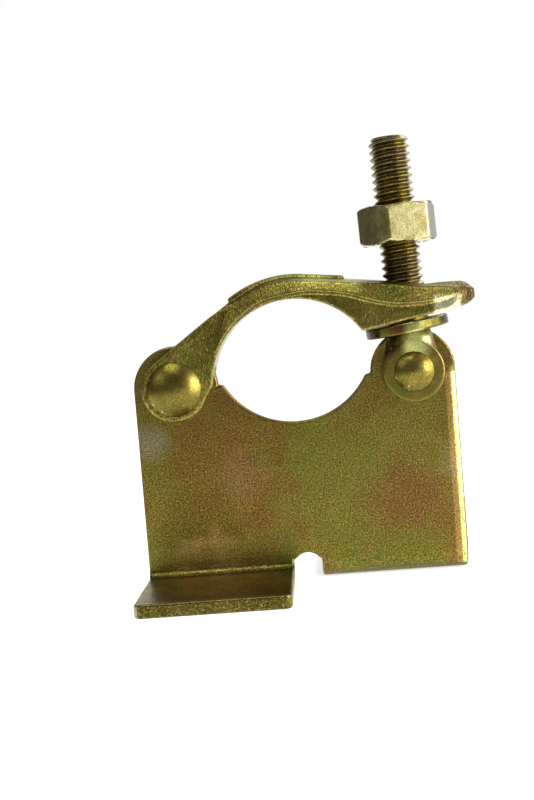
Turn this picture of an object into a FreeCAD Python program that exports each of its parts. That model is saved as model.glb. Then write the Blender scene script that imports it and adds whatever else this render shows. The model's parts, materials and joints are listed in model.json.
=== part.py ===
import FreeCAD, Part
import os
import Sketcher
from FreeCAD import Placement, Rotation, Vector

# Board-retaining scaffold coupler, in millimetres. The origin is the axis of the tube seat in the
# middle of the plate's thickness. +X runs along the plate's width towards the swing bolt, +Y goes
# through the plate to its back, and +Z is up, from the board lips to the cap. The tube lies along Y.

SIZES = [
    ("tube_dia", 48.3, "outside diameter of the scaffold tube"),
    ("plate_thick", 4.0, "thickness of the pressed plate"),
    ("seat_wall", 11.15, "tube seat to the axis of a rivet, across"),
    ("ear_radius", 12.6, "round top of each of the plate's two ears"),
    ("pin_drop", 11.6, "both rivets below the tube axis"),
    ("board_room", 43.7, "underside of the tube to the bearing faces of the lips"),
    ("lip_reach", 38.6, "middle of the plate to the free edge of a lip"),
    ("bend_inside", 2.5, "inside radius of both bends"),
    ("notch_radius", 4.2, "relief notch between the two lips"),
    ("lip_corner", 2.0, "rounded free corners of the lips"),
    ("rivet_dia", 10.0, "shank of both rivets"),
    ("hinge_head_dia", 16.4, "heads of the hinge rivet"),
    ("hinge_head_high", 3.2, "height of a hinge rivet head"),
    ("pivot_head_dia", 12.0, "heads of the pivot rivet"),
    ("pivot_head_high", 2.4, "height of a pivot rivet head"),
    ("side_play", 0.25, "gap on each side of the plate inside a fork"),
    ("shank_play", 0.05, "radial play of a shank in the piece that turns on it"),
    ("head_play", 0.1, "gap under each rivet head"),
    ("ear_play", 0.5, "gap over an ear inside a fork"),
    ("knuckle_radius", 9.7, "round end of the cap at the hinge"),
    ("cheek_thick", 4.65, "thickness of each of the cap's hinge cheeks"),
    ("flare_start", 3.1, "hinge rivet's head to where the cap starts to widen"),
    ("arch_play", 0.45, "inside of the cap's arch over the tube's radius"),
    ("arch_shift", 0.7, "middle of the arch past the tube axis, cap as stored"),
    ("cap_sag", 0.75, "middle of the arch below the hinge, cap as stored"),
    ("cap_thick", 6.4, "thickness of the arch"),
    ("cap_fall", 6.7, "slope of the cap's top beside the arch, in degrees"),
    ("cap_width", 26.4, "cap across its two prongs"),
    ("toe_drop", 0.05, "end of the arch at the toe below the middle of the washer"),
    ("toe_rise", 9.8, "slope of the underside of the prongs, in degrees"),
    ("prong_reach", 19.2, "bolt pivot to the tip of the prongs"),
    ("nose_round", 4.7, "upper rounding of the tip, seen from the side"),
    ("nose_drop", 1.2, "top of the tip below the top beside the nut's seat"),
    ("nose_corner", 7.8, "rounding of each prong, seen from above"),
    ("slot_play", 1.0, "gap on each side of the bolt in the open slot between the prongs"),
    ("pad_high", 1.0, "raised pad on top of the arch"),
    ("pad_width", 10.0, "raised pad across"),
    ("pad_end", 16.8, "right end of the raised pad from the tube axis"),
    ("bolt_dia", 12.4, "swing bolt over its thread, half an inch nominal"),
    ("bolt_length", 68.7, "pivot to the top of the swing bolt"),
    ("bolt_chamfer", 1.2, "chamfer at the top of the swing bolt"),
    ("bolt_lean", 2.0, "lean of the swing bolt towards the cap's hinge, in degrees"),
    ("eye_radius", 9.0, "round lower end of the swing bolt"),
    ("leg_thick", 4.55, "thickness of each of the two legs of the swing bolt"),
    ("nut_flats", 20.8, "hexagon nut across its flats"),
    ("nut_high", 11.1, "height of the nut"),
    ("nut_seat", 37.7, "pivot to the underside of the nut along the bolt"),
    ("nut_turn", 15.0, "turn of the nut's front flat towards +X, in degrees"),
    ("nut_slope", 30.0, "slope of the chamfers on the nut, in degrees"),
    ("nut_play", 0.05, "radial play between the nut's bore and the bolt"),
    ("washer_dia", 24.6, "outside diameter of the washer"),
    ("washer_play", 0.9, "radial play between the washer's bore and the bolt"),
    ("washer_thick", 3.0, "thickness of the washer"),
    ("washer_lift", 1.04, "washer's underside above the ear at the edge of its bore"),
    ("washer_shift", 0.35, "loose washer off the bolt's axis, towards the cap's hinge"),
    ("washer_tilt", 8.0, "tilt of the loose washer from level, in degrees"),
]

# Sizes and places that several pieces share, as formulas over the sheet.
SEAT_R = "(Sizes.tube_dia / 2)"
HALF_T = "(Sizes.plate_thick / 2)"
PIN_X = "(Sizes.tube_dia / 2 + Sizes.seat_wall)"
PIN_Z = "(-Sizes.pin_drop)"
HALF_W = f"({PIN_X} + Sizes.ear_radius)"
LIP_TOP = "(-Sizes.tube_dia / 2 - Sizes.board_room)"
BEND_TOP = f"({LIP_TOP} + Sizes.bend_inside)"
BEND_OUT = "(Sizes.bend_inside + Sizes.plate_thick)"
RIVET_R = "(Sizes.rivet_dia / 2)"
PIN_HOLE_R = f"({RIVET_R} + Sizes.shank_play)"
HEAD_R = "(Sizes.hinge_head_dia / 2)"
FORK_GAP = "(Sizes.plate_thick + 2 * Sizes.side_play)"
FORK_R = "(max(Sizes.ear_radius; Sizes.seat_wall + 1) + Sizes.ear_play)"
KNUCKLE_W = f"({FORK_GAP} + 2 * Sizes.cheek_thick)"
EYE_W = f"({FORK_GAP} + 2 * Sizes.leg_thick)"
BOLT_R = "(Sizes.bolt_dia / 2)"
WASHER_BORE_R = f"({BOLT_R} + Sizes.washer_play)"
WASHER_SEAT = (f"(sqrt(Sizes.ear_radius ^ 2 - {WASHER_BORE_R} ^ 2) + Sizes.washer_thick / 2"
               " + Sizes.washer_lift)")
SLOT_W = "(Sizes.bolt_dia + 2 * Sizes.slot_play)"
ARC_X = "Sizes.arch_shift"
ARC_Z = f"({PIN_Z} - Sizes.cap_sag)"
ARC_R = f"({SEAT_R} + Sizes.arch_play)"
ARC_OUT = f"({ARC_R} + Sizes.cap_thick)"
REACH = f"({PIN_X} + Sizes.arch_shift)"
TIP_X = f"({PIN_X} + Sizes.prong_reach)"

FRONT = Rotation(Vector(1, 0, 0), 90)       # a sketch seen from the front: X right, Z up
SIDE = Rotation(Vector(1, 1, 1), 120)       # a sketch seen from the side: Y right, Z up
TOP = Rotation()                            # a sketch seen from above: X right, Y up
ALONG_Y = Rotation(Vector(1, 0, 0), -90)    # a cylinder along +Y

doc = FreeCAD.newDocument("BoardCoupler")
sheet = doc.addObject("Spreadsheet::Sheet", "Sizes")
for row, (alias, value, meaning) in enumerate(SIZES, start=1):
    sheet.set(f"A{row}", meaning)
    sheet.set(f"B{row}", str(value))
    sheet.setAlias(f"B{row}", alias)
doc.recompute()


def number(formula):
    """The value of a formula over the sheet."""
    found = sheet.evalExpression(formula)
    return float(getattr(found, "Value", found))


def make(kind, name, rotation=None, at=("0", "0", "0"), **sizes):
    """An object whose sizes and place are formulas over the sheet."""
    made = doc.addObject(kind, name)
    for key, formula in sizes.items():
        made.setExpression(key, formula)
    if rotation is not None:
        made.Placement = Placement(Vector(0, 0, 0), rotation)
    for key, formula in zip("xyz", at):
        made.setExpression(f"Placement.Base.{key}", formula)
    return made


def cylinder(name, radius, height, at, rotation=ALONG_Y):
    return make("Part::Cylinder", name, rotation, at, Radius=radius, Height=height)


def box(name, size, at):
    return make("Part::Box", name, None, at, Length=size[0], Width=size[1], Height=size[2])


def sketch(name, rotation, start, path):
    """A closed outline. Each step of the path is ("line", point) or ("arc", point, radius, turn),
    where turn is +1 for an arc that runs anticlockwise and -1 for one that runs clockwise; every
    coordinate and radius is a formula."""
    made = doc.addObject("Sketcher::SketchObject", name)
    made.Placement = Placement(Vector(0, 0, 0), rotation)
    here = Vector(number(start[0]), number(start[1]), 0)
    for step in path:
        there = Vector(number(step[1][0]), number(step[1][1]), 0)
        if step[0] == "line":
            index = made.addGeometry(Part.LineSegment(here, there), False)
        else:
            radius = number(step[2])
            chord = there - here
            across = Vector(-chord.y, chord.x, 0).normalize()
            height = max(radius ** 2 - (chord.Length / 2) ** 2, 0) ** 0.5
            middle = (here + there) / 2 + across * height * step[3]
            bulge = (here + there) / 2 - middle
            if bulge.Length < 1e-9:
                bulge = across * -step[3]
            peak = middle + bulge.normalize() * radius
            index = made.addGeometry(Part.Arc(here, peak, there), False)
            made.addConstraint(Sketcher.Constraint("Radius", index, radius))
            made.setExpression(f"Constraints[{made.ConstraintCount - 1}]", step[2])
        ends = (made.getPoint(index, 1), made.getPoint(index, 2))
        last = 1 if (ends[0] - there).Length < (ends[1] - there).Length else 2
        for kind, formula in zip(("DistanceX", "DistanceY"), step[1]):
            made.addConstraint(Sketcher.Constraint(kind, index, last, number(formula)))
            made.setExpression(f"Constraints[{made.ConstraintCount - 1}]", formula)
        here = there
    return made


def extrude(name, outline, length, at=("0", "0", "0"), symmetric=True):
    """An outline pushed out along its own normal."""
    made = make("Part::Extrusion", name, Rotation(), at, LengthFwd=length)
    made.Base = outline
    made.DirMode = "Normal"
    made.Symmetric = symmetric
    made.Solid = True
    return made


def cut(name, base, tool):
    made = doc.addObject("Part::Cut", name)
    made.Base, made.Tool = base, tool
    return made


def join(name, kind, pieces):
    """A union ("MultiFuse") or an overlap ("MultiCommon") of several solids."""
    made = doc.addObject(f"Part::{kind}", name)
    made.Shapes = pieces
    return made


def fillet(name, base, radius, wanted):
    """The base with every edge that wanted(edge) accepts rounded."""
    doc.recompute()
    made = doc.addObject("Part::Fillet", name)
    made.Base = base
    size = number(radius)
    made.Edges = [(i + 1, size, size) for i, edge in enumerate(base.Shape.Edges) if wanted(edge)]
    return made


def body_plate():
    """Flat plate with a round seat for the tube between two ears, bent to the front on its left half
    and to the back on its right half, with a round relief notch between the two lips."""
    web = box("Web", (f"2 * {HALF_W}", "Sizes.plate_thick", f"{PIN_Z} - {BEND_TOP}"),
              (f"-{HALF_W}", f"-{HALF_T}", BEND_TOP))
    pieces = [web]
    holes = [
        cylinder("Seat", SEAT_R, "2 * Sizes.plate_thick", ("0", "-Sizes.plate_thick", "0")),
        cylinder("Notch", "Sizes.notch_radius", "4 * Sizes.lip_reach",
                 ("0", "-2 * Sizes.lip_reach", LIP_TOP)),
    ]
    for side, sign in (("Left", "-"), ("Right", "")):
        place = (f"{sign}{PIN_X}", f"-{HALF_T}", PIN_Z)
        pieces.append(cylinder(f"Ear{side}", "Sizes.ear_radius", "Sizes.plate_thick", place))
        holes.append(cylinder(f"RivetHole{side}", RIVET_R, "Sizes.plate_thick", place))
    for side, way, turn in (("Front", "-", 1), ("Back", "", -1)):
        # The face of the plate on the inside of the bend, and the one on its outside.
        inner = f"{way}({HALF_T})"
        outer = f"-{inner}"
        foot = f"{way}({HALF_T} + Sizes.bend_inside)"
        under = f"{LIP_TOP} - Sizes.plate_thick"
        profile = sketch(f"LipProfile{side}", SIDE, (outer, BEND_TOP), [
            ("arc", (foot, under), BEND_OUT, -turn),
            ("line", (f"{way}Sizes.lip_reach", under)),
            ("line", (f"{way}Sizes.lip_reach", LIP_TOP)),
            ("line", (foot, LIP_TOP)),
            ("arc", (inner, BEND_TOP), "Sizes.bend_inside", turn),
            ("line", (outer, BEND_TOP)),
        ])
        start = f"-{HALF_W}" if side == "Front" else "Sizes.notch_radius"
        pieces.append(extrude(f"Lip{side}", profile, f"{HALF_W} - Sizes.notch_radius", (start, "0", "0"),
                              symmetric=False))
    whole = cut("PlateCut", join("PlateRaw", "MultiFuse", pieces), join("PlateHoles", "MultiFuse", holes))
    reach = number("Sizes.lip_reach")
    rounded = fillet("PlateRounded", whole, "Sizes.lip_corner", lambda edge: (
        abs(abs(edge.CenterOfMass.y) - reach) < 0.01 and edge.BoundBox.XLength < 0.01))
    rounded.Label = "body_plate"
    return rounded


def on_circle(centre, radius, turn):
    """A point on a circle, as a pair of formulas."""
    return (f"({centre[0]} + {radius} * cos({turn}))", f"({centre[1]} + {radius} * sin({turn}))")


HINGE = (f"-{PIN_X}", PIN_Z)
ARCH = (ARC_X, ARC_Z)
TILT = (f"(asin(({ARC_OUT} - Sizes.knuckle_radius) / hypot({REACH}; Sizes.cap_sag))"
        f" - atan(Sizes.cap_sag / {REACH}))")
SHOULDER = f"(90 deg + {TILT})"
FALL = "(90 deg - 1 deg * Sizes.cap_fall)"
TOE_TURN = f"asin(({PIN_Z} + {WASHER_SEAT} - Sizes.toe_drop - {ARC_Z}) / {ARC_R})"
TOE = on_circle(ARCH, ARC_R, TOE_TURN)
CREST = on_circle(ARCH, ARC_OUT, FALL)


def top_at(x):
    """Height of the straight top beside the arch."""
    return f"({CREST[1]} - ({x} - {CREST[0]}) * tan(Sizes.cap_fall))"


def cap_side():
    """Outline of the cap seen from the front: round hinge end, arch over the tube, wedge-shaped
    prongs with a sloping underside."""
    seat_x = f"({PIN_X} - {SLOT_W} / 2)"
    nose_z = f"({top_at(seat_x)} - Sizes.nose_drop)"
    return sketch("CapSide", FRONT, TOE, [
        ("line", (TIP_X, f"({TOE[1]} + ({TIP_X} - {TOE[0]}) * tan(Sizes.toe_rise))")),
        ("line", (TIP_X, f"({nose_z} - Sizes.nose_round)")),
        ("arc", (f"({TIP_X} - Sizes.nose_round)", nose_z), "Sizes.nose_round", 1),
        ("line", (seat_x, top_at(seat_x))),
        ("line", CREST),
        ("arc", on_circle(ARCH, ARC_OUT, SHOULDER), ARC_OUT, 1),
        ("line", on_circle(HINGE, "Sizes.knuckle_radius", SHOULDER)),
        ("arc", on_circle(HINGE, "Sizes.knuckle_radius", "-90"), "Sizes.knuckle_radius", 1),
        ("arc", on_circle(HINGE, "Sizes.knuckle_radius", "-20"), "Sizes.knuckle_radius", 1),
        ("line", on_circle(ARCH, ARC_R, "178")),
        ("arc", TOE, ARC_R, -1),
    ])


def cap_plan():
    """Outline of the cap seen from above: narrow at the hinge, wide at the prongs, rounded tip."""
    back = f"(-{PIN_X} - 2 * Sizes.knuckle_radius)"
    narrow = f"({KNUCKLE_W} / 2)"
    wide = "(Sizes.cap_width / 2)"
    flare = f"({HINGE[0]} + {HEAD_R} + Sizes.flare_start)"
    tip_side = f"({wide} - Sizes.nose_corner)"
    return sketch("CapPlan", TOP, (back, f"(-{narrow})"), [
        ("line", (flare, f"(-{narrow})")),
        ("line", (TOE[0], f"(-{wide})")),
        ("line", (f"({TIP_X} - Sizes.nose_corner)", f"(-{wide})")),
        ("arc", (TIP_X, f"(-{tip_side})"), "Sizes.nose_corner", 1),
        ("line", (TIP_X, tip_side)),
        ("arc", (f"({TIP_X} - Sizes.nose_corner)", wide), "Sizes.nose_corner", 1),
        ("line", (TOE[0], wide)),
        ("line", (flare, narrow)),
        ("line", (back, narrow)),
        ("line", (back, f"(-{narrow})")),
    ])


def cap_pad():
    """Raised pad that follows the top of the arch."""
    low = f"({ARC_OUT} - Sizes.pad_high)"
    high = f"({ARC_OUT} + Sizes.pad_high)"
    end_z = top_at("Sizes.pad_end")
    outline = sketch("PadSide", FRONT, on_circle(ARCH, low, FALL), [
        ("line", ("Sizes.pad_end", f"({end_z} - Sizes.pad_high)")),
        ("line", ("Sizes.pad_end", f"({end_z} + Sizes.pad_high)")),
        ("line", on_circle(ARCH, high, FALL)),
        ("arc", on_circle(ARCH, high, SHOULDER), high, 1),
        ("line", on_circle(ARCH, low, SHOULDER)),
        ("arc", on_circle(ARCH, low, FALL), low, -1),
    ])
    return extrude("Pad", outline, "Sizes.pad_width")


def cap():
    """Forged cap: two cheeks that straddle the plate at the hinge, an arch over the tube, and two
    prongs with an open slot between them for the swing bolt."""
    side = extrude("CapBlock", cap_side(), "2 * Sizes.cap_width")
    plan = extrude("CapTaper", cap_plan(), "4 * Sizes.tube_dia")
    body = join("CapBody", "MultiFuse", [join("CapShaped", "MultiCommon", [side, plan]), cap_pad()])
    slot_x = f"({PIN_X} - {WASHER_SEAT} * tan(Sizes.bolt_lean))"
    deep = "(2 * Sizes.tube_dia)"
    tools = [
        cylinder("CapFork", FORK_R, FORK_GAP, (HINGE[0], f"(-{FORK_GAP} / 2)", HINGE[1])),
        cylinder("CapPinHole", PIN_HOLE_R, f"2 * {KNUCKLE_W}", (HINGE[0], f"(-{KNUCKLE_W})", HINGE[1])),
        cylinder("CapSlotEnd", f"{SLOT_W} / 2", deep, (slot_x, "0", f"(-{deep} / 2)"), Rotation()),
        box("CapSlot", (f"({TIP_X} + 1 - {slot_x})", SLOT_W, deep),
            (slot_x, f"(-{SLOT_W} / 2)", f"(-{deep} / 2)")),
    ]
    made = cut("CapCut", body, join("CapTools", "MultiFuse", tools))
    made.Label = "cap"
    return made


def on_bolt(made, label, tilt="Sizes.bolt_lean", along="0", shift="0"):
    """Puts a piece that was modelled upright over the pivot onto the leaning swing bolt."""
    made.Label = label
    made.Placement = Placement(Vector(0, 0, 0), Rotation(Vector(0, -1, 0), 1))
    made.setExpression("Placement.Rotation.Angle", f"1 deg * {tilt}")
    lean = "Sizes.bolt_lean"
    made.setExpression("Placement.Base.x", f"{PIN_X} - {along} * sin({lean}) - {shift}")
    made.setExpression("Placement.Base.z", f"{PIN_Z} + {along} * cos({lean})")
    return made


def swing_bolt():
    """Round bolt whose lower end is a fork: two legs that straddle the plate's right ear."""
    straight = "(Sizes.bolt_length - Sizes.bolt_chamfer)"
    rod = cylinder("Rod", BOLT_R, straight, ("0", "0", "0"), Rotation())
    point = make("Part::Cone", "RodTop", None, ("0", "0", straight), Radius1=BOLT_R,
                 Radius2=f"({BOLT_R} - Sizes.bolt_chamfer)", Height="Sizes.bolt_chamfer")
    eye = cylinder("Eye", "Sizes.eye_radius", EYE_W, ("0", f"(-{EYE_W} / 2)", "0"))
    tools = [
        cylinder("BoltFork", FORK_R, FORK_GAP, ("0", f"(-{FORK_GAP} / 2)", "0")),
        cylinder("BoltPinHole", PIN_HOLE_R, f"2 * {EYE_W}", ("0", f"(-{EYE_W})", "0")),
    ]
    solid = join("BoltRaw", "MultiFuse", [rod, point, eye])
    return on_bolt(cut("BoltCut", solid, join("BoltTools", "MultiFuse", tools)), "swing_bolt")


def hex_nut():
    """Hexagon nut with a chamfer on the corners of both ends."""
    across = "(Sizes.nut_flats / cos(30))"
    prism = make("Part::Prism", "NutPrism", Rotation(Vector(0, 0, 1), number("Sizes.nut_turn")),
                 ("0", "0", "Sizes.nut_seat"), Circumradius=f"{across} / 2", Height="Sizes.nut_high")
    end = "(Sizes.nut_flats / 2)"
    middle = f"({end} + Sizes.nut_high / 2 / tan(Sizes.nut_slope))"
    low = make("Part::Cone", "NutLow", None, ("0", "0", "Sizes.nut_seat"), Radius1=end, Radius2=middle,
               Height="Sizes.nut_high / 2")
    high = make("Part::Cone", "NutHigh", None, ("0", "0", "Sizes.nut_seat + Sizes.nut_high / 2"),
                Radius1=middle, Radius2=end, Height="Sizes.nut_high / 2")
    solid = join("NutSolid", "MultiCommon", [prism, join("NutCones", "MultiFuse", [low, high])])
    bore = cylinder("NutBore", f"({BOLT_R} + Sizes.nut_play)", "2 * Sizes.nut_high",
                    ("0", "0", "Sizes.nut_seat - Sizes.nut_high / 2"), Rotation())
    return on_bolt(cut("NutCut", solid, bore), "hex_nut")


def washer():
    """Plain washer that lies loose on the plate's right ear, under the cap."""
    half = "(-Sizes.washer_thick / 2)"
    disc = cylinder("Disc", "Sizes.washer_dia / 2", "Sizes.washer_thick", ("0", "0", half), Rotation())
    bore = cylinder("DiscBore", WASHER_BORE_R, "Sizes.washer_thick", ("0", "0", half), Rotation())
    return on_bolt(cut("WasherCut", disc, bore), "washer", "Sizes.washer_tilt", WASHER_SEAT,
                   "Sizes.washer_shift")


def rivet(label, centre_x, width, head):
    """Rivet with a domed head on both sides, along Y; head is the start of its sizes' names."""
    head_r = f"(Sizes.{head}_dia / 2)"
    head_high = f"Sizes.{head}_high"
    head_y = f"({width} / 2 + Sizes.head_play)"
    top_y = f"({head_y} + {head_high})"
    dome_r = f"(({head_r} ^ 2 + {head_high} ^ 2) / (2 * {head_high}))"
    half = sketch(f"{label}_half", SIDE, (f"(-{top_y})", "0"), [
        ("arc", (f"(-{head_y})", head_r), dome_r, -1),
        ("line", (f"(-{head_y})", RIVET_R)),
        ("line", (head_y, RIVET_R)),
        ("line", (head_y, head_r)),
        ("arc", (top_y, "0"), dome_r, -1),
        ("line", (f"(-{top_y})", "0")),
    ])
    made = make("Part::Revolution", f"{label}_turned", Rotation(), (centre_x, "0", PIN_Z))
    made.Source = half
    made.Axis = Vector(0, 1, 0)
    made.Angle = 360
    made.Solid = True
    made.Label = label
    return made


pieces = [
    body_plate(),
    cap(),
    swing_bolt(),
    hex_nut(),
    washer(),
    rivet("hinge_rivet", HINGE[0], KNUCKLE_W, "hinge_head"),
    rivet("pivot_rivet", PIN_X, EYE_W, "pivot_head"),
]
doc.recompute()

for item in doc.Objects:
    if {"Invalid", "Error"} & set(item.State):
        raise SystemExit(f"{item.Label} could not be built: {item.State}")
for piece in pieces:
    if piece.Shape.isNull() or not piece.Shape.isValid() or len(piece.Shape.Solids) != 1:
        raise SystemExit(f"{piece.Label} is not one valid solid")

os.makedirs("parts", exist_ok=True)
for piece in pieces:
    piece.Shape.exportStep(f"parts/{piece.Label}.step")
    span = piece.Shape.BoundBox
    print(f"{piece.Label}: {piece.Shape.Volume:.0f} mm3, x {span.XMin:.1f} to {span.XMax:.1f}, "
          f"y {span.YMin:.1f} to {span.YMax:.1f}, z {span.ZMin:.1f} to {span.ZMax:.1f}")
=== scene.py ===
import json
import math

import bmesh
import bpy
import numpy as np
from mathutils import Matrix, Vector


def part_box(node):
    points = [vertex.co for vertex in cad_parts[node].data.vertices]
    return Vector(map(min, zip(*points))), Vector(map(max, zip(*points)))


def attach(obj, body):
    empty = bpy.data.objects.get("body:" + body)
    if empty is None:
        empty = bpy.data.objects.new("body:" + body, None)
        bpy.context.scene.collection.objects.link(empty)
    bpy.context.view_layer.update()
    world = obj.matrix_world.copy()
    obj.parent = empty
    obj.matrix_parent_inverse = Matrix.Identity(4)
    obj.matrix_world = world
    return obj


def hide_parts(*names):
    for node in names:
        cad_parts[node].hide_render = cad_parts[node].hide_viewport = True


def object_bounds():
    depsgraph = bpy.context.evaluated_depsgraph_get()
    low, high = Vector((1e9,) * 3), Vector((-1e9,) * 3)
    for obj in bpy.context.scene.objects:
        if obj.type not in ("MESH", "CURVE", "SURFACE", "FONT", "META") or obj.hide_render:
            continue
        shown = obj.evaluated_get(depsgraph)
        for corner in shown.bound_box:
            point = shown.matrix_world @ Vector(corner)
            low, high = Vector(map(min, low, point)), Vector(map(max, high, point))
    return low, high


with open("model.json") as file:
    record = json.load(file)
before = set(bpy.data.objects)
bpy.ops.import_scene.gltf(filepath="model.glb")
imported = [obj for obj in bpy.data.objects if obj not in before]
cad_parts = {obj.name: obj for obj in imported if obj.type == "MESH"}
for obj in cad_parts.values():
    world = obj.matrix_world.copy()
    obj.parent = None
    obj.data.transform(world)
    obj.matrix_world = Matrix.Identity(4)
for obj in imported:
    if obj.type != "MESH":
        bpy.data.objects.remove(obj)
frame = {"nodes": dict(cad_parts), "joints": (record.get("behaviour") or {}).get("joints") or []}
cad_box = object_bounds()

MM = 0.001
JOINTS = {joint["name"]: joint for joint in frame["joints"]}
HINGE = Vector(JOINTS["cap_hinge"]["pos_m"])
PIVOT = Vector(JOINTS["bolt_swing"]["pos_m"])
BOLT_AXIS = Vector(JOINTS["nut_travel"]["axis"]).normalized()
# Points of a CAD mesh closer than this are one point, and faces within this angle are one flat face.
WELD = 0.002 * MM
FLAT = math.radians(0.4)


# ---------------------------------------------------------------- mesh tools

def new_piece(name, points, faces):
    """A smooth-shaded object in the scene, from points in metres and faces."""
    mesh = bpy.data.meshes.new(name)
    mesh.from_pydata([tuple(point) for point in points], [], faces)
    mesh.validate()
    mesh.shade_smooth()
    piece = bpy.data.objects.new(name, mesh)
    bpy.context.scene.collection.objects.link(piece)
    return piece


def copy_of(node, name):
    """A welded copy of a CAD node's mesh with its flat faces joined up, ready to be worked on."""
    work = bmesh.new()
    work.from_mesh(frame["nodes"][node].data)
    bmesh.ops.remove_doubles(work, verts=work.verts, dist=WELD)
    bmesh.ops.dissolve_limit(work, angle_limit=FLAT, verts=work.verts, edges=work.edges)
    points = [vert.co.copy() for vert in work.verts]
    faces = [[vert.index for vert in face.verts] for face in work.faces]
    work.free()
    return new_piece(name, points, faces)


def apply_modifiers(piece):
    """Turns the piece's modifiers into its mesh."""
    bpy.context.view_layer.update()
    seen = piece.evaluated_get(bpy.context.evaluated_depsgraph_get())
    mesh = bpy.data.meshes.new_from_object(seen)
    piece.modifiers.clear()
    piece.data = mesh
    return piece


def round_edges(piece, width, wanted=None, segments=3, sharp=30):
    """Rounds the piece's sharp edges, or those that wanted(edge) accepts."""
    work = bmesh.new()
    work.from_mesh(piece.data)
    edges = [edge for edge in work.edges if len(edge.link_faces) == 2
             and edge.calc_face_angle(0) > math.radians(sharp) and (wanted is None or wanted(edge))]
    bmesh.ops.bevel(work, geom=edges, offset=width, segments=segments, profile=0.5, affect="EDGES",
                    clamp_overlap=False)
    bmesh.ops.remove_doubles(work, verts=work.verts, dist=0.01 * MM)
    work.to_mesh(piece.data)
    work.free()
    piece.data.shade_smooth()
    return piece


def keep_flats_flat(piece):
    """Weighted normals, so that rounded edges don't bend the shading of the flat faces."""
    modifier = piece.modifiers.new("flats", "WEIGHTED_NORMAL")
    modifier.keep_sharp = True
    modifier.weight = 100
    return piece


def add_softening(piece, passes):
    """A modifier that evens out the piece's mesh a little with each pass."""
    modifier = piece.modifiers.new("soften", "SMOOTH")
    modifier.factor = 0.5
    modifier.iterations = passes


def forge(piece, voxel, passes):
    """Remeshes the piece in even quads and softens all its edges, as on a forging."""
    remesh = piece.modifiers.new("remesh", "REMESH")
    remesh.mode = "VOXEL"
    remesh.voxel_size = voxel
    add_softening(piece, passes)
    apply_modifiers(piece)
    piece.data.shade_smooth()
    return piece


def get_points(piece):
    """The places of the piece's points in metres, one row each."""
    points = np.empty(len(piece.data.vertices) * 3)
    piece.data.vertices.foreach_get("co", points)
    return points.reshape(-1, 3)


def set_points(piece, points):
    """Moves the piece's points to places in metres, one row each."""
    piece.data.vertices.foreach_set("co", points.reshape(-1))
    piece.data.update()


def smoothstep(low, high, value):
    """0 up to low, 1 from high on, and a smooth rise between them; a fall where low is above high."""
    share = np.clip((value - low) / (high - low), 0, 1)
    return share * share * (3 - 2 * share)


# ---------------------------------------------------------------- materials

def linear(red, green, blue):
    """A display colour, each channel from 0 to 255, as linear light."""
    return tuple((c / 255) ** 2.2 for c in (red, green, blue)) + (1,)


# Size in millimetres of the clouds that make the outline of a patch ragged.
RAGGED = 9


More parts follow.
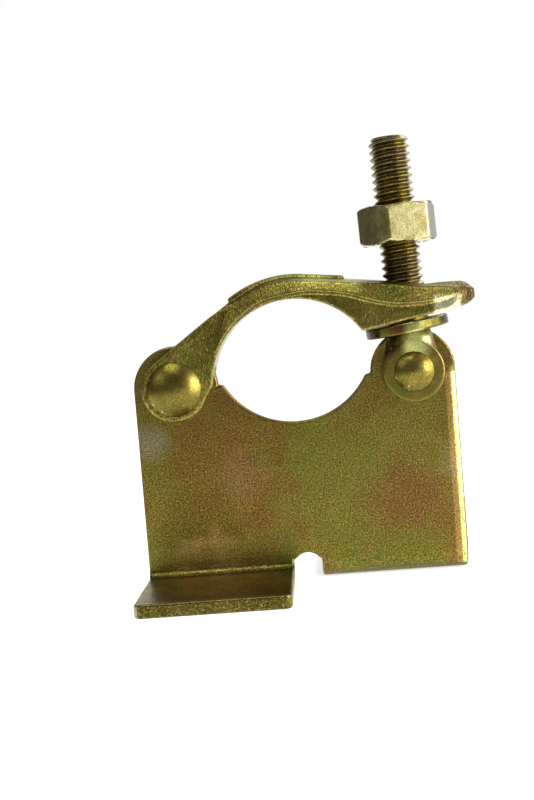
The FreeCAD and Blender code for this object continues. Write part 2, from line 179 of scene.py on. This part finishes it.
class Nodes:
    """A short way to write a material's node tree. Places and sizes are in millimetres."""

    def __init__(self, name):
        self.material = bpy.data.materials.new(name)
        self.material.use_nodes = True
        self.tree = self.material.node_tree
        self.shader = self.tree.nodes["Principled BSDF"]
        self.place = self.add("ShaderNodeTexCoord").outputs["Object"]
        cloudy = self.add("ShaderNodeTexNoise")
        cloudy.inputs["Scale"].default_value = 1 / (RAGGED * MM)
        cloudy.inputs["Detail"].default_value = 4
        self.link(self.place, cloudy.inputs["Vector"])
        self.clouds = cloudy.outputs["Color"]

    def add(self, kind, **settings):
        """A new node of a kind, with its properties set."""
        node = self.tree.nodes.new(kind)
        for key, value in settings.items():
            setattr(node, key, value)
        return node

    def link(self, source, target):
        """Joins an output to an input."""
        self.tree.links.new(source, target)

    def noise(self, size, detail=3, roughness=0.55, distortion=0.0, stretch=(1, 1, 1)):
        """Noise whose patches are about size millimetres across, from 0 to 1."""
        mapping = self.add("ShaderNodeMapping")
        mapping.inputs["Scale"].default_value = stretch
        self.link(self.place, mapping.inputs["Vector"])
        node = self.add("ShaderNodeTexNoise")
        node.inputs["Scale"].default_value = 1 / (size * MM)
        node.inputs["Detail"].default_value = detail
        node.inputs["Roughness"].default_value = roughness
        node.inputs["Distortion"].default_value = distortion
        self.link(mapping.outputs["Vector"], node.inputs["Vector"])
        return node.outputs["Fac"]

    def ramp(self, value, *stops):
        """Colours at places from 0 to 1 along a value."""
        node = self.add("ShaderNodeValToRGB")
        elements = node.color_ramp.elements
        while len(elements) < len(stops):
            elements.new(0.5)
        for element, (position, colour) in zip(elements, stops):
            element.position = position
            element.color = colour
        self.link(value, node.inputs["Fac"])
        return node.outputs["Color"]

    def span(self, value, low, high, out_low, out_high):
        """A value from low..high as out_low..out_high."""
        node = self.add("ShaderNodeMapRange")
        for key, number in (("From Min", low), ("From Max", high), ("To Min", out_low), ("To Max", out_high)):
            node.inputs[key].default_value = number
        self.link(value, node.inputs["Value"])
        return node.outputs["Result"]

    def mix(self, share, first, second, blend="MIX"):
        """Mixes two colours; share and second may be plain values."""
        node = self.add("ShaderNodeMix", data_type="RGBA", blend_type=blend)
        for socket, value in ((node.inputs[0], share), (node.inputs[6], first), (node.inputs[7], second)):
            if isinstance(value, (int, float, tuple)):
                socket.default_value = value
            else:
                self.link(value, socket)
        return node.outputs[2]

    def patch(self, centre, reach, share):
        """A soft ragged blob around a place in millimetres, as a share that is 0 outside its reach."""
        ragged = self.add("ShaderNodeVectorMath", operation="MULTIPLY_ADD")
        self.link(self.clouds, ragged.inputs[0])
        ragged.inputs[1].default_value = (reach * MM,) * 3
        self.link(self.place, ragged.inputs[2])
        away = self.add("ShaderNodeVectorMath", operation="DISTANCE")
        self.link(ragged.outputs["Vector"], away.inputs[0])
        away.inputs[1].default_value = [(c + 0.5 * reach) * MM for c in centre]
        return self.span(away.outputs["Value"], 0.35 * reach * MM, reach * MM, share, 0)

    def math(self, operation, first, second):
        """One operation on two values, which may be plain numbers."""
        node = self.add("ShaderNodeMath", operation=operation)
        for socket, value in zip(node.inputs, (first, second)):
            if isinstance(value, (int, float)):
                socket.default_value = value
            else:
                self.link(value, socket)
        return node.outputs[0]

    def block(self, low, high, soft, share):
        """A soft-edged box between two corners in millimetres, as a share that is 0 outside it."""
        axes = self.add("ShaderNodeSeparateXYZ")
        self.link(self.place, axes.inputs[0])
        for axis, start, end in zip("XYZ", low, high):
            rise = self.span(axes.outputs[axis], (start - soft) * MM, start * MM, 0, 1)
            fall = self.span(axes.outputs[axis], end * MM, (end + soft) * MM, 1, 0)
            share = self.math("MULTIPLY", share, self.math("MULTIPLY", rise, fall))
        return share

    def bump(self, *layers):
        """Bumps from pairs of a height value and its depth, one over the other."""
        normal = None
        for height, depth in layers:
            node = self.add("ShaderNodeBump")
            node.inputs["Strength"].default_value = 1
            node.inputs["Distance"].default_value = depth * MM
            self.link(height, node.inputs["Height"])
            if normal is not None:
                self.link(normal, node.inputs["Normal"])
            normal = node.outputs["Normal"]
        self.link(normal, self.shader.inputs["Normal"])


OLIVE = linear(110, 97, 47)
MOSS = linear(96, 96, 42)
GOLD = linear(132, 118, 62)
BRASS = linear(196, 186, 134)
DULL = linear(156, 142, 84)
BROWN = linear(106, 80, 42)
RUST = linear(102, 68, 44)
PAINTED_WARM_LIGHT = linear(196, 152, 96)
PINK = linear(156, 124, 106)
GREY = linear(120, 115, 92)
PAINTED_HIGHLIGHT = linear(220, 226, 140)
PALE_WEAR_AND_SHEEN = linear(236, 228, 182)
SPECKS_AND_HIGHLIGHTS = linear(184, 180, 88)
BRONZE = linear(90, 78, 60)
FERN = linear(104, 97, 46)
GRASS = linear(120, 109, 54)
EARTH = linear(90, 72, 34)
SHADE = linear(66, 62, 28)
SCALE = linear(72, 50, 40)
PAINTED_DEEP_SHADE = linear(34, 32, 14)


WHITE = (1, 1, 1, 1)


def tinted(nodes, stops, cloud, patches, blocks):
    """The film's colour: drifting clouds, tints at given places, and scattered moss green and rust."""
    film = nodes.ramp(nodes.noise(cloud, detail=5, roughness=0.6, distortion=0.6), *stops)
    for centre, reach, colour, share in patches:
        film = nodes.mix(nodes.patch(centre, reach, share), film, colour)
    for low, high, soft, colour, share in blocks:
        film = nodes.mix(nodes.block(low, high, soft, share), film, colour)
    mossy = nodes.noise(cloud / 4, detail=4, roughness=0.65)
    film = nodes.mix(nodes.span(mossy, 0.48, 0.75, 0, 0.4), film, MOSS)
    rusty = nodes.noise(cloud / 3, detail=3)
    return nodes.mix(nodes.span(rusty, 0.50, 0.75, 0, 0.3), film, RUST)


def grained(nodes, film, fine, contrast, glints, specks):
    """The film's colour with a fine grain, darker and paler, and with bright specks."""
    dark = (1 - contrast,) * 3 + (1,)
    pale = (1 + 1.3 * contrast, 1 + 1.25 * contrast, 1 + contrast, 1)
    shade = nodes.ramp(fine, (0.34, dark), (0.50, WHITE), (0.66, pale))
    film = nodes.mix(1.0, film, shade, "MULTIPLY")
    return nodes.mix(nodes.span(glints, 0.58, 0.68, 0, specks), film, SPECKS_AND_HIGHLIGHTS)


def passivated(name, stops, *, cloud, grain, contrast, specks, grain_depth, waves, roughness, patches=(),
               blocks=(), dull_spots=(), stretch=(1, 1, 1), wear=PALE_WEAR_AND_SHEEN, wear_share=0.5):
    """Zinc-plated steel with a yellow passivation film: cloudy colours that drift between green, gold
    and brown, patches and blocks of colour at given places, some of them painted highlights and painted
    shade, a fine grain with bright specks, and paler worn edges. The sizes of clouds and grain and the
    depths of grain and waves are in millimetres."""
    nodes = Nodes(name)
    shader = nodes.shader
    shader.inputs["Metallic"].default_value = 1
    fine = nodes.noise(grain, detail=4, roughness=0.75, stretch=stretch)
    glints = nodes.noise(0.8 * grain, detail=2, roughness=0.6, stretch=stretch)
    film = tinted(nodes, stops, cloud, patches, blocks)
    film = grained(nodes, film, fine, contrast, glints, specks)
    edges = nodes.add("ShaderNodeNewGeometry").outputs["Pointiness"]
    film = nodes.mix(nodes.span(edges, 0.53, 0.62, 0, wear_share), film, wear)
    nodes.link(film, shader.inputs["Base Color"])
    rough = nodes.span(fine, 0.34, 0.66, roughness + 0.10, roughness - 0.10)
    for centre, reach, more in dull_spots:
        rough = nodes.math("ADD", rough, nodes.patch(centre, reach, more))
    nodes.link(rough, shader.inputs["Roughness"])
    long_waves = nodes.noise(7, detail=1)
    short_waves = nodes.noise(1.8, detail=1)
    relief = nodes.noise(grain, detail=1, stretch=stretch)
    nodes.bump((long_waves, waves), (short_waves, waves / 3), (relief, grain_depth))
    return nodes.material


# Patches are a centre, a reach, a colour and its share; blocks are two corners, a soft edge, a colour
# and its share; dull spots are a centre, a reach and the roughness they add.

PLATE = passivated(
    "passivated_plate",
    stops=[(0.34, MOSS), (0.46, OLIVE), (0.60, BROWN)],
    patches=[
        ((-26, -2, -36), 26, BROWN, 0.8),
        ((30, -2, -50), 18, RUST, 0.8),
        ((38, -2, -22), 14, MOSS, 0.4),
        ((8, -2, -36), 22, MOSS, 0.75),
        ((-18, -2, -38), 10, PINK, 0.15),
        ((-32, -2, -55), 15, EARTH, 0.7),
        ((-45, -2, -27), 7, GREY, 0.9),
        ((46, -2, -40), 7, PINK, 0.3),
        # painted shade: a green band along the bottom right bend
        ((30, 0, -70), 16, MOSS, 0.8),
        # painted reflection: the top of the front lip painted a lighter brown
        ((-26, -20, -68), 24, PAINTED_WARM_LIGHT, 0.9),
        # more painted green shade on the bottom right bend
        ((30, -3, -66), 12, MOSS, 0.5)],
    blocks=[
        # the front lip's sheared edge, darkened with painted shade
        ((-48, -40, -73), (48, -38.4, -60), 0.6, SHADE, 0.85),
        # painted shade inside the front bend, and a painted highlight, a pale green band, on the plate just
        # above it
        ((-48, -6.5, -68.5), (2, -2.3, -64), 0.4, SHADE, 0.75),
        ((-48, -2.2, -63.5), (2, -1.5, -60), 1.5, GRASS, 0.45),
        # the rolled right edge, with a painted highlight: a warm band and a pale line
        ((44.7, -3, -70), (46.2, 0, -13), 0.5, PAINTED_WARM_LIGHT, 0.4),
        ((46.3, -3, -70), (47.3, 0, -13), 0.3, PAINTED_HIGHLIGHT, 0.9)],
    cloud=30, grain=0.5, contrast=0.8, specks=0.7, grain_depth=0.015, waves=0.10, roughness=0.36,
    wear_share=0.3)

FORGING = passivated(
    "passivated_forging",
    stops=[(0.34, FERN), (0.50, GRASS), (0.62, GOLD), (0.74, BROWN)],
    patches=[
        ((54, -10, 10.5), 8, SCALE, 1.0),
        ((38, -6, 17), 8, PINK, 0.6),
        # painted shade on the upper band and a painted sheen on the lower band, at the middle
        ((22, -10, 15), 10, OLIVE, 0.8),
        ((26, -12, 5), 11, GOLD, 0.9),
        ((-12, -5, 14), 12, BROWN, 0.5),
        ((-22, -6, 2), 10, BROWN, 0.4),
        # painted highlights: bright streaks just above the parting line
        ((8, -8, 16.5), 6, SPECKS_AND_HIGHLIGHTS, 0.7),
        ((18, -9, 15), 6, SPECKS_AND_HIGHLIGHTS, 0.6),
        ((31, -11, 12), 7, MOSS, 0.8),
        ((0, -7, 12), 6, MOSS, 0.7),
        ((-26, -6, -4), 8, MOSS, 0.5)],
    # a painted sheen: the pale band under the parting line, near the nose
    blocks=[((42.5, -14, 3), (49, -6, 9.2), 1.0, PALE_WEAR_AND_SHEEN, 0.95)],
    # the nose
    dull_spots=[((55, -10, 10.5), 9, 0.4)],
    cloud=14, grain=0.6, stretch=(2.0, 1, 0.6), contrast=0.85, specks=0.95, grain_depth=0.09, waves=0.16,
    roughness=0.34, wear_share=0.3)

THREAD = passivated(
    "oiled_thread",
    stops=[(0.36, BRONZE), (0.60, OLIVE)],
    cloud=7, grain=0.4, contrast=0.4, specks=0.3, grain_depth=0.006, waves=0.03, roughness=0.30, wear=DULL,
    wear_share=0.6)

BOLT = passivated(
    "passivated_bolt",
    stops=[(0.34, MOSS), (0.48, OLIVE), (0.64, GOLD)],
    patches=[
        # a painted highlight down the neck and painted shade on its left side
        ((36.5, -6, -3), 6, PAINTED_HIGHLIGHT, 1.0),
        ((29, -5, -4), 4.5, SHADE, 1.0),
        ((42, -5, -4), 3, PINK, 0.8)],
    cloud=9, grain=0.35, contrast=0.2, specks=0.1, grain_depth=0.003, waves=0.03, roughness=0.32)

NUT = passivated(
    "passivated_nut",
    stops=[(0.34, DULL), (0.50, BRASS), (0.68, DULL)],
    # painted shade on the left and the right face, seen from the front
    blocks=[
        ((20, -13, 20), (27, 13, 40), 1.5, BRONZE, 0.45),
        ((42.9, -13, 20), (48, 13, 40), 0.4, GREY, 0.95)],
    cloud=9, grain=0.4, contrast=0.2, specks=0.1, grain_depth=0.005, waves=0.03, roughness=0.28)

WASHER = passivated(
    "passivated_washer",
    stops=[(0.34, MOSS), (0.50, OLIVE), (0.62, BROWN)],
    patches=[
        # the first and the last patch are painted shade at the ends of the rim, and the pale one near its
        # middle is a painted highlight
        ((24, -4, 0), 6, SHADE, 1.0),
        ((31, -12, 0), 5, RUST, 0.8),
        ((36, -12, 1), 4, PAINTED_HIGHLIGHT, 0.6),
        ((47, -6, 3), 7, SHADE, 1.0)],
    # painted shade on the right and the left end of its rim, seen from the front
    blocks=[
        ((39, -13, -3), (48, 0, 6), 1.0, SHADE, 0.9),
        ((21, -13, -4), (25.5, 0, 6), 1.0, PAINTED_DEEP_SHADE, 0.9)],
    cloud=8, grain=0.4, contrast=0.25, specks=0.1, grain_depth=0.004, waves=0.04, roughness=0.26)

RIVET = passivated(
    "passivated_rivet",
    stops=[(0.34, MOSS), (0.50, OLIVE), (0.66, GOLD)],
    cloud=8, grain=0.5, contrast=0.35, specks=0.3, grain_depth=0.012, waves=0.12, roughness=0.32)


def dress(piece, material, slot, body, *nodes):
    """Gives a piece its material and the body it rides on, and hides the CAD nodes it stands for. The slot is
    not used.
    """
    piece.data.materials.clear()
    piece.data.materials.append(material)
    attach(piece, body)
    if nodes:
        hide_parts(*nodes)
    return piece


# ---------------------------------------------------------------- plate

EDGE_ROLL = 2.7 * MM
EDGE_ROUND = 0.7 * MM
# Edges shorter than this are steps of a curve and stay as they are.
CURVE_STEP = 0.2 * MM


def plate():
    """The pressed plate: rolled right edge from shearing, lightly rounded edges everywhere else."""
    piece = copy_of("body_plate", "pressed_plate")
    low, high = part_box("body_plate")

    def on_right_edge(edge):
        """Whether an edge runs down the right side of the plate's front face, above the bend."""
        ends = [vert.co for vert in edge.verts]
        at_side = all(abs(end.x - high.x) < 0.1 * MM for end in ends)
        return at_side and all(end.y < -1 * MM and end.z > low.z + 6 * MM for end in ends)

    round_edges(piece, EDGE_ROLL, on_right_edge, segments=7)
    round_edges(piece, EDGE_ROUND, lambda edge: edge.calc_length() > CURVE_STEP, segments=3)
    keep_flats_flat(piece)
    return dress(piece, PLATE, "plate_steel", "plate", "body_plate")


# ---------------------------------------------------------------- cap

# The cap as stored: the middle and the outer radius of its arch, the crest where the arch gives way to
# the sloping top, and the tip with its corners and the height of its middle.
ARCH = Vector((0.7 * MM, 0, HINGE.z - 0.75 * MM))
ARCH_OUT = 31.0 * MM
ARCH_LEAST_RISE = 6 * MM
CREST_X = 4.3 * MM
CREST_Z = 18.45 * MM
TOP_SLOPE = 0.1175
TIP_X = 54.3 * MM
TIP_CORNER = 7.8 * MM
NOSE_MIDDLE = 11.0 * MM
# Where the cap widens, seen from above, and its half widths there.
WIDENS = (-24 * MM, 21.3 * MM)
HALF_WIDTHS = (6.9 * MM, 13.2 * MM)
# The strap near the hinge stays plain, and the forged shape fades in over this stretch.
SHAPE_STARTS = (-24 * MM, -14 * MM)
# The forging's parting line, seen from the front.
PARTING = np.array([(-24, -4), (-17, 6.5), (-8, 12.6), (4.9, 14.3), (16, 13.0), (24, 10.2), (31, 8.4),
                    (40, 8.4), (47.5, 9.8), (54, 11)]) * MM
PARTING_SOFT = 3 * MM
# The top's fall towards both sides, along the body and more at the nose, and its dip at the nut's seat.
CROWN = 1.2 * MM
NOSE_CROWN = 1.2 * MM
NOSE_CROWN_STARTS = (38 * MM, 50 * MM)
SEAT_X = 39 * MM
SEAT_REACH = 6 * MM
SEAT_DIP = 1.0 * MM
# The sides start at these shares of the half width. They lean in above the parting line and step in
# below it, on a ledge that fades towards the nose.
SIDE_STARTS = (0.55, 0.95)
LEAN = 0.45
LEDGE = 1.5 * MM
LEDGE_TAPER = 0.09
LEDGE_EDGE = 0.7 * MM
LEDGE_ENDS = (52 * MM, 44 * MM)
# The nose is rounded this far in from its end, where the square of its height loses this share. The
# rounding fades in over a stretch measured from where the tip's corners start.
NOSE_ROUND = 3.4 * MM
NOSE_SQUEEZE = 0.6
NOSE_STARTS = (-1 * MM, 3 * MM)
CAP_VOXEL = 0.35 * MM


def parting_line(x):
    """Height of the parting line, with the corners between its points smoothed out."""
    shifts = np.linspace(-PARTING_SOFT, PARTING_SOFT, 9)
    return np.mean([np.interp(x + shift, PARTING[:, 0], PARTING[:, 1]) for shift in shifts], axis=0)


def top_line(x):
    """Height of the cap's plain top, over the arch and then down the slope to the nose."""
    rise = np.sqrt(np.maximum(ARCH_OUT ** 2 - (x - ARCH.x) ** 2, ARCH_LEAST_RISE ** 2))
    return np.where(x < CREST_X, ARCH.z + rise, CREST_Z - TOP_SLOPE * (x - CREST_X))


def crown_drop(x, z, across):
    """How far the top comes down, all of it at the top and none at the parting line."""
    parting = parting_line(x)
    share = np.clip((z - parting) / np.maximum(top_line(x) - parting, MM), 0, 1)
    crown = (CROWN + NOSE_CROWN * smoothstep(*NOSE_CROWN_STARTS, x)) * across ** 2
    seat = SEAT_DIP * np.exp(-((x - SEAT_X) / SEAT_REACH) ** 2)
    return share * (crown + seat)


def side_draft(x, z):
    """How far the sides come in, above the parting line and below it."""
    parting = parting_line(x)
    above = np.maximum(z - parting, 0)
    below = np.maximum(parting - z, 0)
    ledge = (LEDGE - LEDGE_TAPER * below) * smoothstep(0, LEDGE_EDGE, below) * smoothstep(*LEDGE_ENDS, x)
    return LEAN * above + ledge


def inside_tip(x, y):
    """Distance in from the cap's rounded end, seen from above."""
    into_nose = np.maximum(x - (TIP_X - TIP_CORNER), 0)
    into_side = np.maximum(np.abs(y) - (HALF_WIDTHS[1] - TIP_CORNER), 0)
    return TIP_CORNER - np.hypot(into_nose, into_side)


def cap():
    """The forged cap: drafted sides that meet in a parting line, a crowned top that dips at the
    nut's seat, a rounded nose and soft forged edges."""
    piece = forge(copy_of("cap", "forged_cap"), CAP_VOXEL, 3)
    x, y, z = get_points(piece).T
    inside = inside_tip(x, y)
    across = np.abs(y) / np.interp(x, WIDENS, HALF_WIDTHS)
    shaped = smoothstep(*SHAPE_STARTS, x)
    z = z - shaped * crown_drop(x, z, across)
    side = np.sign(y) * smoothstep(*SIDE_STARTS, across)
    y = y - side * shaped * side_draft(x, z)
    at_nose = smoothstep(*NOSE_STARTS, x - (TIP_X - TIP_CORNER))
    round_over = at_nose * np.clip(1 - inside / NOSE_ROUND, 0, 1) ** 2
    z = NOSE_MIDDLE + (z - NOSE_MIDDLE) * np.sqrt(1 - NOSE_SQUEEZE * round_over)
    set_points(piece, np.stack([x, y, z], axis=1))
    add_softening(piece, 2)
    apply_modifiers(piece)
    piece.data.shade_smooth()
    return dress(piece, FORGING, "forged_steel", "cap", "cap")


# ---------------------------------------------------------------- bolt, nut and washer

# Along the bolt from its pivot: the shoulder between its flat eye and its round shank, the plain shank,
# and the thread up to the chamfered end.
BOLT_R = 6.2 * MM
THREAD_R = 6.0 * MM
EYE_HALF = 6.8 * MM
FORK_SLOT = 2.25 * MM
NECK_LOW = 5.3 * MM
NECK_FLAT = 8.8 * MM
NECK_TOP = 12.8 * MM
NECK_SLOPE = 0.25
PITCH = 25.4 / 12 * MM
THREAD_DEPTH = 1.2 * MM
THREAD_ROUNDING = 0.45
SHANK_TOP = 22 * MM
FORK_OVERLAP = 1.5 * MM
THREAD_START = 24 * MM
THREAD_RUN_OUT = 1.5 * PITCH
BOLT_TOP = 68.7 * MM
END_CHAMFER = 1.3 * MM
# Points around the thread, rows of them in each turn, and rows and columns of the shoulder on each leg.
AROUND = 72
ROWS_PER_PITCH = 14
NECK_ROWS = 24
NECK_COLUMNS = 25
FORK_VOXEL = 0.3 * MM
NUT_EDGE = 0.45 * MM
WASHER_EDGE = 0.5 * MM
RIVET_VOXEL = 0.25 * MM


def along_bolt():
    """From a frame whose Z is the bolt's axis and whose origin is the pivot, to the row's frame."""
    side = Vector((0, 1, 0)).cross(BOLT_AXIS)
    turn = Matrix((side, Vector((0, 1, 0)), BOLT_AXIS)).transposed().to_4x4()
    return Matrix.Translation(PIVOT) @ turn


def thread_radius(height, turns):
    """The bolt's radius around its axis at a height: plain shank, then a rounded right-hand thread that
    fades in, then the chamfered end."""
    ridge = np.abs(2 * ((height / PITCH - turns) % 1) - 1)
    rounded = 0.5 - 0.5 * np.cos(math.pi * ridge)
    ridge = (1 - THREAD_ROUNDING) * ridge + THREAD_ROUNDING * rounded
    fade_in = smoothstep(THREAD_START, THREAD_START + THREAD_RUN_OUT, height)
    crest = BOLT_R + (THREAD_R - BOLT_R) * fade_in
    chamfer = THREAD_R - END_CHAMFER + (BOLT_TOP - height)
    return np.minimum(crest - THREAD_DEPTH * fade_in * (1 - ridge), chamfer)


def tube_faces(rows, around):
    """The faces of a tube made of rows of points, closed by fans around two more points, the one at its
    bottom and then the one at its top."""
    bottom = rows * around
    top = bottom + 1
    last = (rows - 1) * around
    faces = []
    for column in range(around):
        after = (column + 1) % around
        for start in range(0, last, around):
            faces.append((start + column, start + after, start + around + after, start + around + column))
        faces.append((bottom, after, column))
        faces.append((top, last + column, last + after))
    return faces


def bolt_thread():
    """The bolt above its fork, with its thread. Its flat ends stay flat-shaded."""
    place = along_bolt()
    rows = int((BOLT_TOP - SHANK_TOP) / PITCH * ROWS_PER_PITCH)
    turns = np.arange(AROUND) / AROUND
    points = []
    for height in np.linspace(SHANK_TOP, BOLT_TOP, rows):
        for turn, reach in zip(turns, thread_radius(height, turns)):
            angle = 2 * math.pi * turn
            points.append(place @ Vector((reach * math.cos(angle), reach * math.sin(angle), height)))
    points.append(place @ Vector((0, 0, SHANK_TOP)))
    points.append(place @ Vector((0, 0, BOLT_TOP)))
    piece = new_piece("bolt_thread", points, tube_faces(rows, AROUND))
    for face in piece.data.polygons:
        face.use_smooth = len(face.vertices) == 4
    return dress(piece, THREAD, "bolt_steel", "bolt")


def add_neck(piece, side):
    """Adds to the fork's mesh, on one side of its slot, the shoulder that widens from the round shank
    to the flat eye."""
    place = along_bolt()
    heights = np.linspace(NECK_LOW, NECK_TOP, NECK_ROWS)
    steps = np.linspace(-1, 1, NECK_COLUMNS)
    work = bmesh.new()
    work.from_mesh(piece.data)
    rings = []
    for height in heights:
        flat = smoothstep(NECK_TOP, NECK_FLAT, height)
        wide = BOLT_R + (NECK_TOP - height) * NECK_SLOPE
        round_deep = BOLT_R * np.sqrt(np.maximum(1 - steps ** 2, 0))
        flat_deep = EYE_HALF * np.sqrt(1 - steps ** 4)
        deep = np.maximum(round_deep * (1 - flat) + flat_deep * flat, FORK_SLOT) * side
        outer = [(step * wide, y, height) for step, y in zip(steps, deep)]
        inner = [(step * wide, FORK_SLOT * side, height) for step in steps[::-1]]
        rings.append([work.verts.new(place @ Vector(point)) for point in outer + inner])
    for low, high in zip(rings, rings[1:]):
        for index in range(len(low)):
            after = (index + 1) % len(low)
            work.faces.new((low[index], low[after], high[after], high[index]))
    work.faces.new(rings[0])
    work.faces.new(rings[-1])
    bmesh.ops.recalc_face_normals(work, faces=work.faces)
    work.to_mesh(piece.data)
    work.free()


def bolt_fork():
    """The bolt's forged lower end, which straddles the plate's ear."""
    piece = copy_of("swing_bolt", "bolt_fork")
    work = bmesh.new()
    work.from_mesh(piece.data)
    level = PIVOT + BOLT_AXIS * (SHANK_TOP + FORK_OVERLAP)
    cut = bmesh.ops.bisect_plane(work, geom=work.verts[:] + work.edges[:] + work.faces[:], plane_co=level,
                                 plane_no=BOLT_AXIS, clear_outer=True)
    rim = [item for item in cut["geom_cut"] if isinstance(item, bmesh.types.BMEdge)]
    bmesh.ops.contextual_create(work, geom=rim)
    work.to_mesh(piece.data)
    work.free()
    for side in (-1, 1):
        add_neck(piece, side)
    forge(piece, FORK_VOXEL, 8)
    return dress(piece, BOLT, "bolt_steel", "bolt", "swing_bolt")


def nut():
    """The hexagon nut, with lightly worn corners."""
    piece = round_edges(copy_of("hex_nut", "hexagon_nut"), NUT_EDGE, segments=4, sharp=20)
    keep_flats_flat(piece)
    return dress(piece, NUT, "nut_steel", "nut", "hex_nut")


def washer():
    """The loose washer, rounded on its punched edges."""
    piece = round_edges(copy_of("washer", "loose_washer"), WASHER_EDGE, segments=3)
    keep_flats_flat(piece)
    return dress(piece, WASHER, "washer_steel", "bolt", "washer")


def rivet(node):
    """A rivet with domed heads that are slightly uneven from being hammered over."""
    piece = forge(copy_of(node, node + "_formed"), RIVET_VOXEL, 3)
    return dress(piece, RIVET, "rivet_steel", "plate", node)


# ---------------------------------------------------------------- surroundings

# The room is bright in this direction. Across it, the floor is painted dark and then white at these distances
# in metres, as painted shade, and glows by these strengths as painted light; the room is dark and then white
# at these shares of the way towards it.
BRIGHT_SIDE = Vector((0.75, 0.65, -0.1)).normalized()
FLOOR_FADE = (-0.50, -0.16)
FLOOR_SHADES = (0.25, 0.93)
FLOOR_GLOW = (0.0, 0.6)
ROOM_FADE = (-0.3, 0.45)
ROOM_SHADES = (0.17, 1.0)
FLOOR_HALF = 3.0
LIGHTS_FACE = (0, 0, -0.01)

# Each light's name, place and size in metres, power in watts and colour.
LIGHTS = [
    ("key", (0.92, -0.60, 0.16), (0.45, 0.7), 11, (1.0, 0.98, 0.94)),
    ("window", (1.1, -0.1, 0.15), (0.6, 0.8), 8, (1, 1, 1)),
    ("top", (-0.15, -0.4, 0.85), (0.5, 0.4), 2.6, (1, 1, 1)),
    ("fill", (-0.7, -0.6, 0.5), (0.5, 0.5), 1, (1, 1, 1)),
    ("rim", (0.5, 0.5, 0.5), (0.4, 0.4), 3, (1, 1, 1)),
]

CAMERA_AT = Vector((9.7, -387.2, 9.6)) * MM
CAMERA_LENS = 58.56
CAMERA_YAW = math.radians(2.70)
CAMERA_PITCH = math.radians(-3.95)
CAMERA_ROLL = math.radians(-4.575)


def area_light(name, place, size, power, colour):
    """A soft rectangular light that faces the object and that the camera doesn't see."""
    data = bpy.data.lights.new(name, "AREA")
    data.shape = "RECTANGLE"
    data.size, data.size_y = size
    data.energy = power
    data.color = colour
    lamp = bpy.data.objects.new(name, data)
    lamp.location = place
    lamp.visible_camera = False
    lamp.rotation_euler = (Vector(LIGHTS_FACE) - Vector(place)).to_track_quat("-Z", "Y").to_euler()
    bpy.context.scene.collection.objects.link(lamp)


def pale_floor():
    """A pale floor under the lips that is white around and behind the object and turns grey, like the
    room, towards the front and the left: the grey is painted shade, and the floor glows as painted light
    where it is white."""
    floor_z = cad_box[0][2]
    signs = [(-1, -1), (1, -1), (1, 1), (-1, 1)]
    corners = [(x * FLOOR_HALF, y * FLOOR_HALF, floor_z) for x, y in signs]
    floor = new_piece("floor", corners, [(0, 1, 2, 3)])
    nodes = Nodes("pale_floor")
    shader = nodes.shader
    across = nodes.add("ShaderNodeVectorMath", operation="DOT_PRODUCT")
    nodes.link(nodes.place, across.inputs[0])
    across.inputs[1].default_value = BRIGHT_SIDE
    way = across.outputs["Value"]
    nodes.link(nodes.span(way, *FLOOR_FADE, *FLOOR_SHADES), shader.inputs["Base Color"])
    nodes.link(nodes.span(way, *FLOOR_FADE, *FLOOR_GLOW), shader.inputs["Emission Strength"])
    shader.inputs["Emission Color"].default_value = WHITE
    shader.inputs["Roughness"].default_value = 0.9
    shader.inputs["Specular IOR Level"].default_value = 0.2
    floor.data.materials.append(nodes.material)


def studio_room():
    """A white room behind the object that turns grey towards the front and the left, so that the
    metal has something darker to reflect."""
    world = bpy.data.worlds.new("studio")
    world.use_nodes = True
    tree = world.node_tree
    background = tree.nodes["Background"]
    background.inputs["Strength"].default_value = 1.0
    direction = tree.nodes.new("ShaderNodeTexCoord").outputs["Generated"]
    across = tree.nodes.new("ShaderNodeVectorMath")
    across.operation = "DOT_PRODUCT"
    across.inputs[1].default_value = BRIGHT_SIDE
    tree.links.new(direction, across.inputs[0])
    shade = tree.nodes.new("ShaderNodeMapRange")
    shade.inputs["From Min"].default_value, shade.inputs["From Max"].default_value = ROOM_FADE
    shade.inputs["To Min"].default_value, shade.inputs["To Max"].default_value = ROOM_SHADES
    tree.links.new(across.outputs["Value"], shade.inputs["Value"])
    tree.links.new(shade.outputs["Result"], background.inputs["Color"])
    bpy.context.scene.world = world


def camera():
    """A short telephoto view from the front, a little to the right, turned slightly about its axis."""
    data = bpy.data.cameras.new("camera")
    data.sensor_width = 36
    data.lens = CAMERA_LENS
    view = bpy.data.objects.new("camera", data)
    yaw = Matrix.Rotation(CAMERA_YAW, 4, "Z")
    pitch = Matrix.Rotation(math.pi / 2 + CAMERA_PITCH, 4, "X")
    roll = Matrix.Rotation(CAMERA_ROLL, 4, "Z")
    view.matrix_world = Matrix.Translation(CAMERA_AT) @ yaw @ pitch @ roll
    bpy.context.scene.collection.objects.link(view)
    bpy.context.scene.camera = view


plate()
cap()
bolt_fork()
bolt_thread()
nut()
washer()
rivet("hinge_rivet")
rivet("pivot_rivet")
pale_floor()
studio_room()
for light in LIGHTS:
    area_light(*light)
camera()
bpy.context.scene.view_settings.view_transform = "Standard"
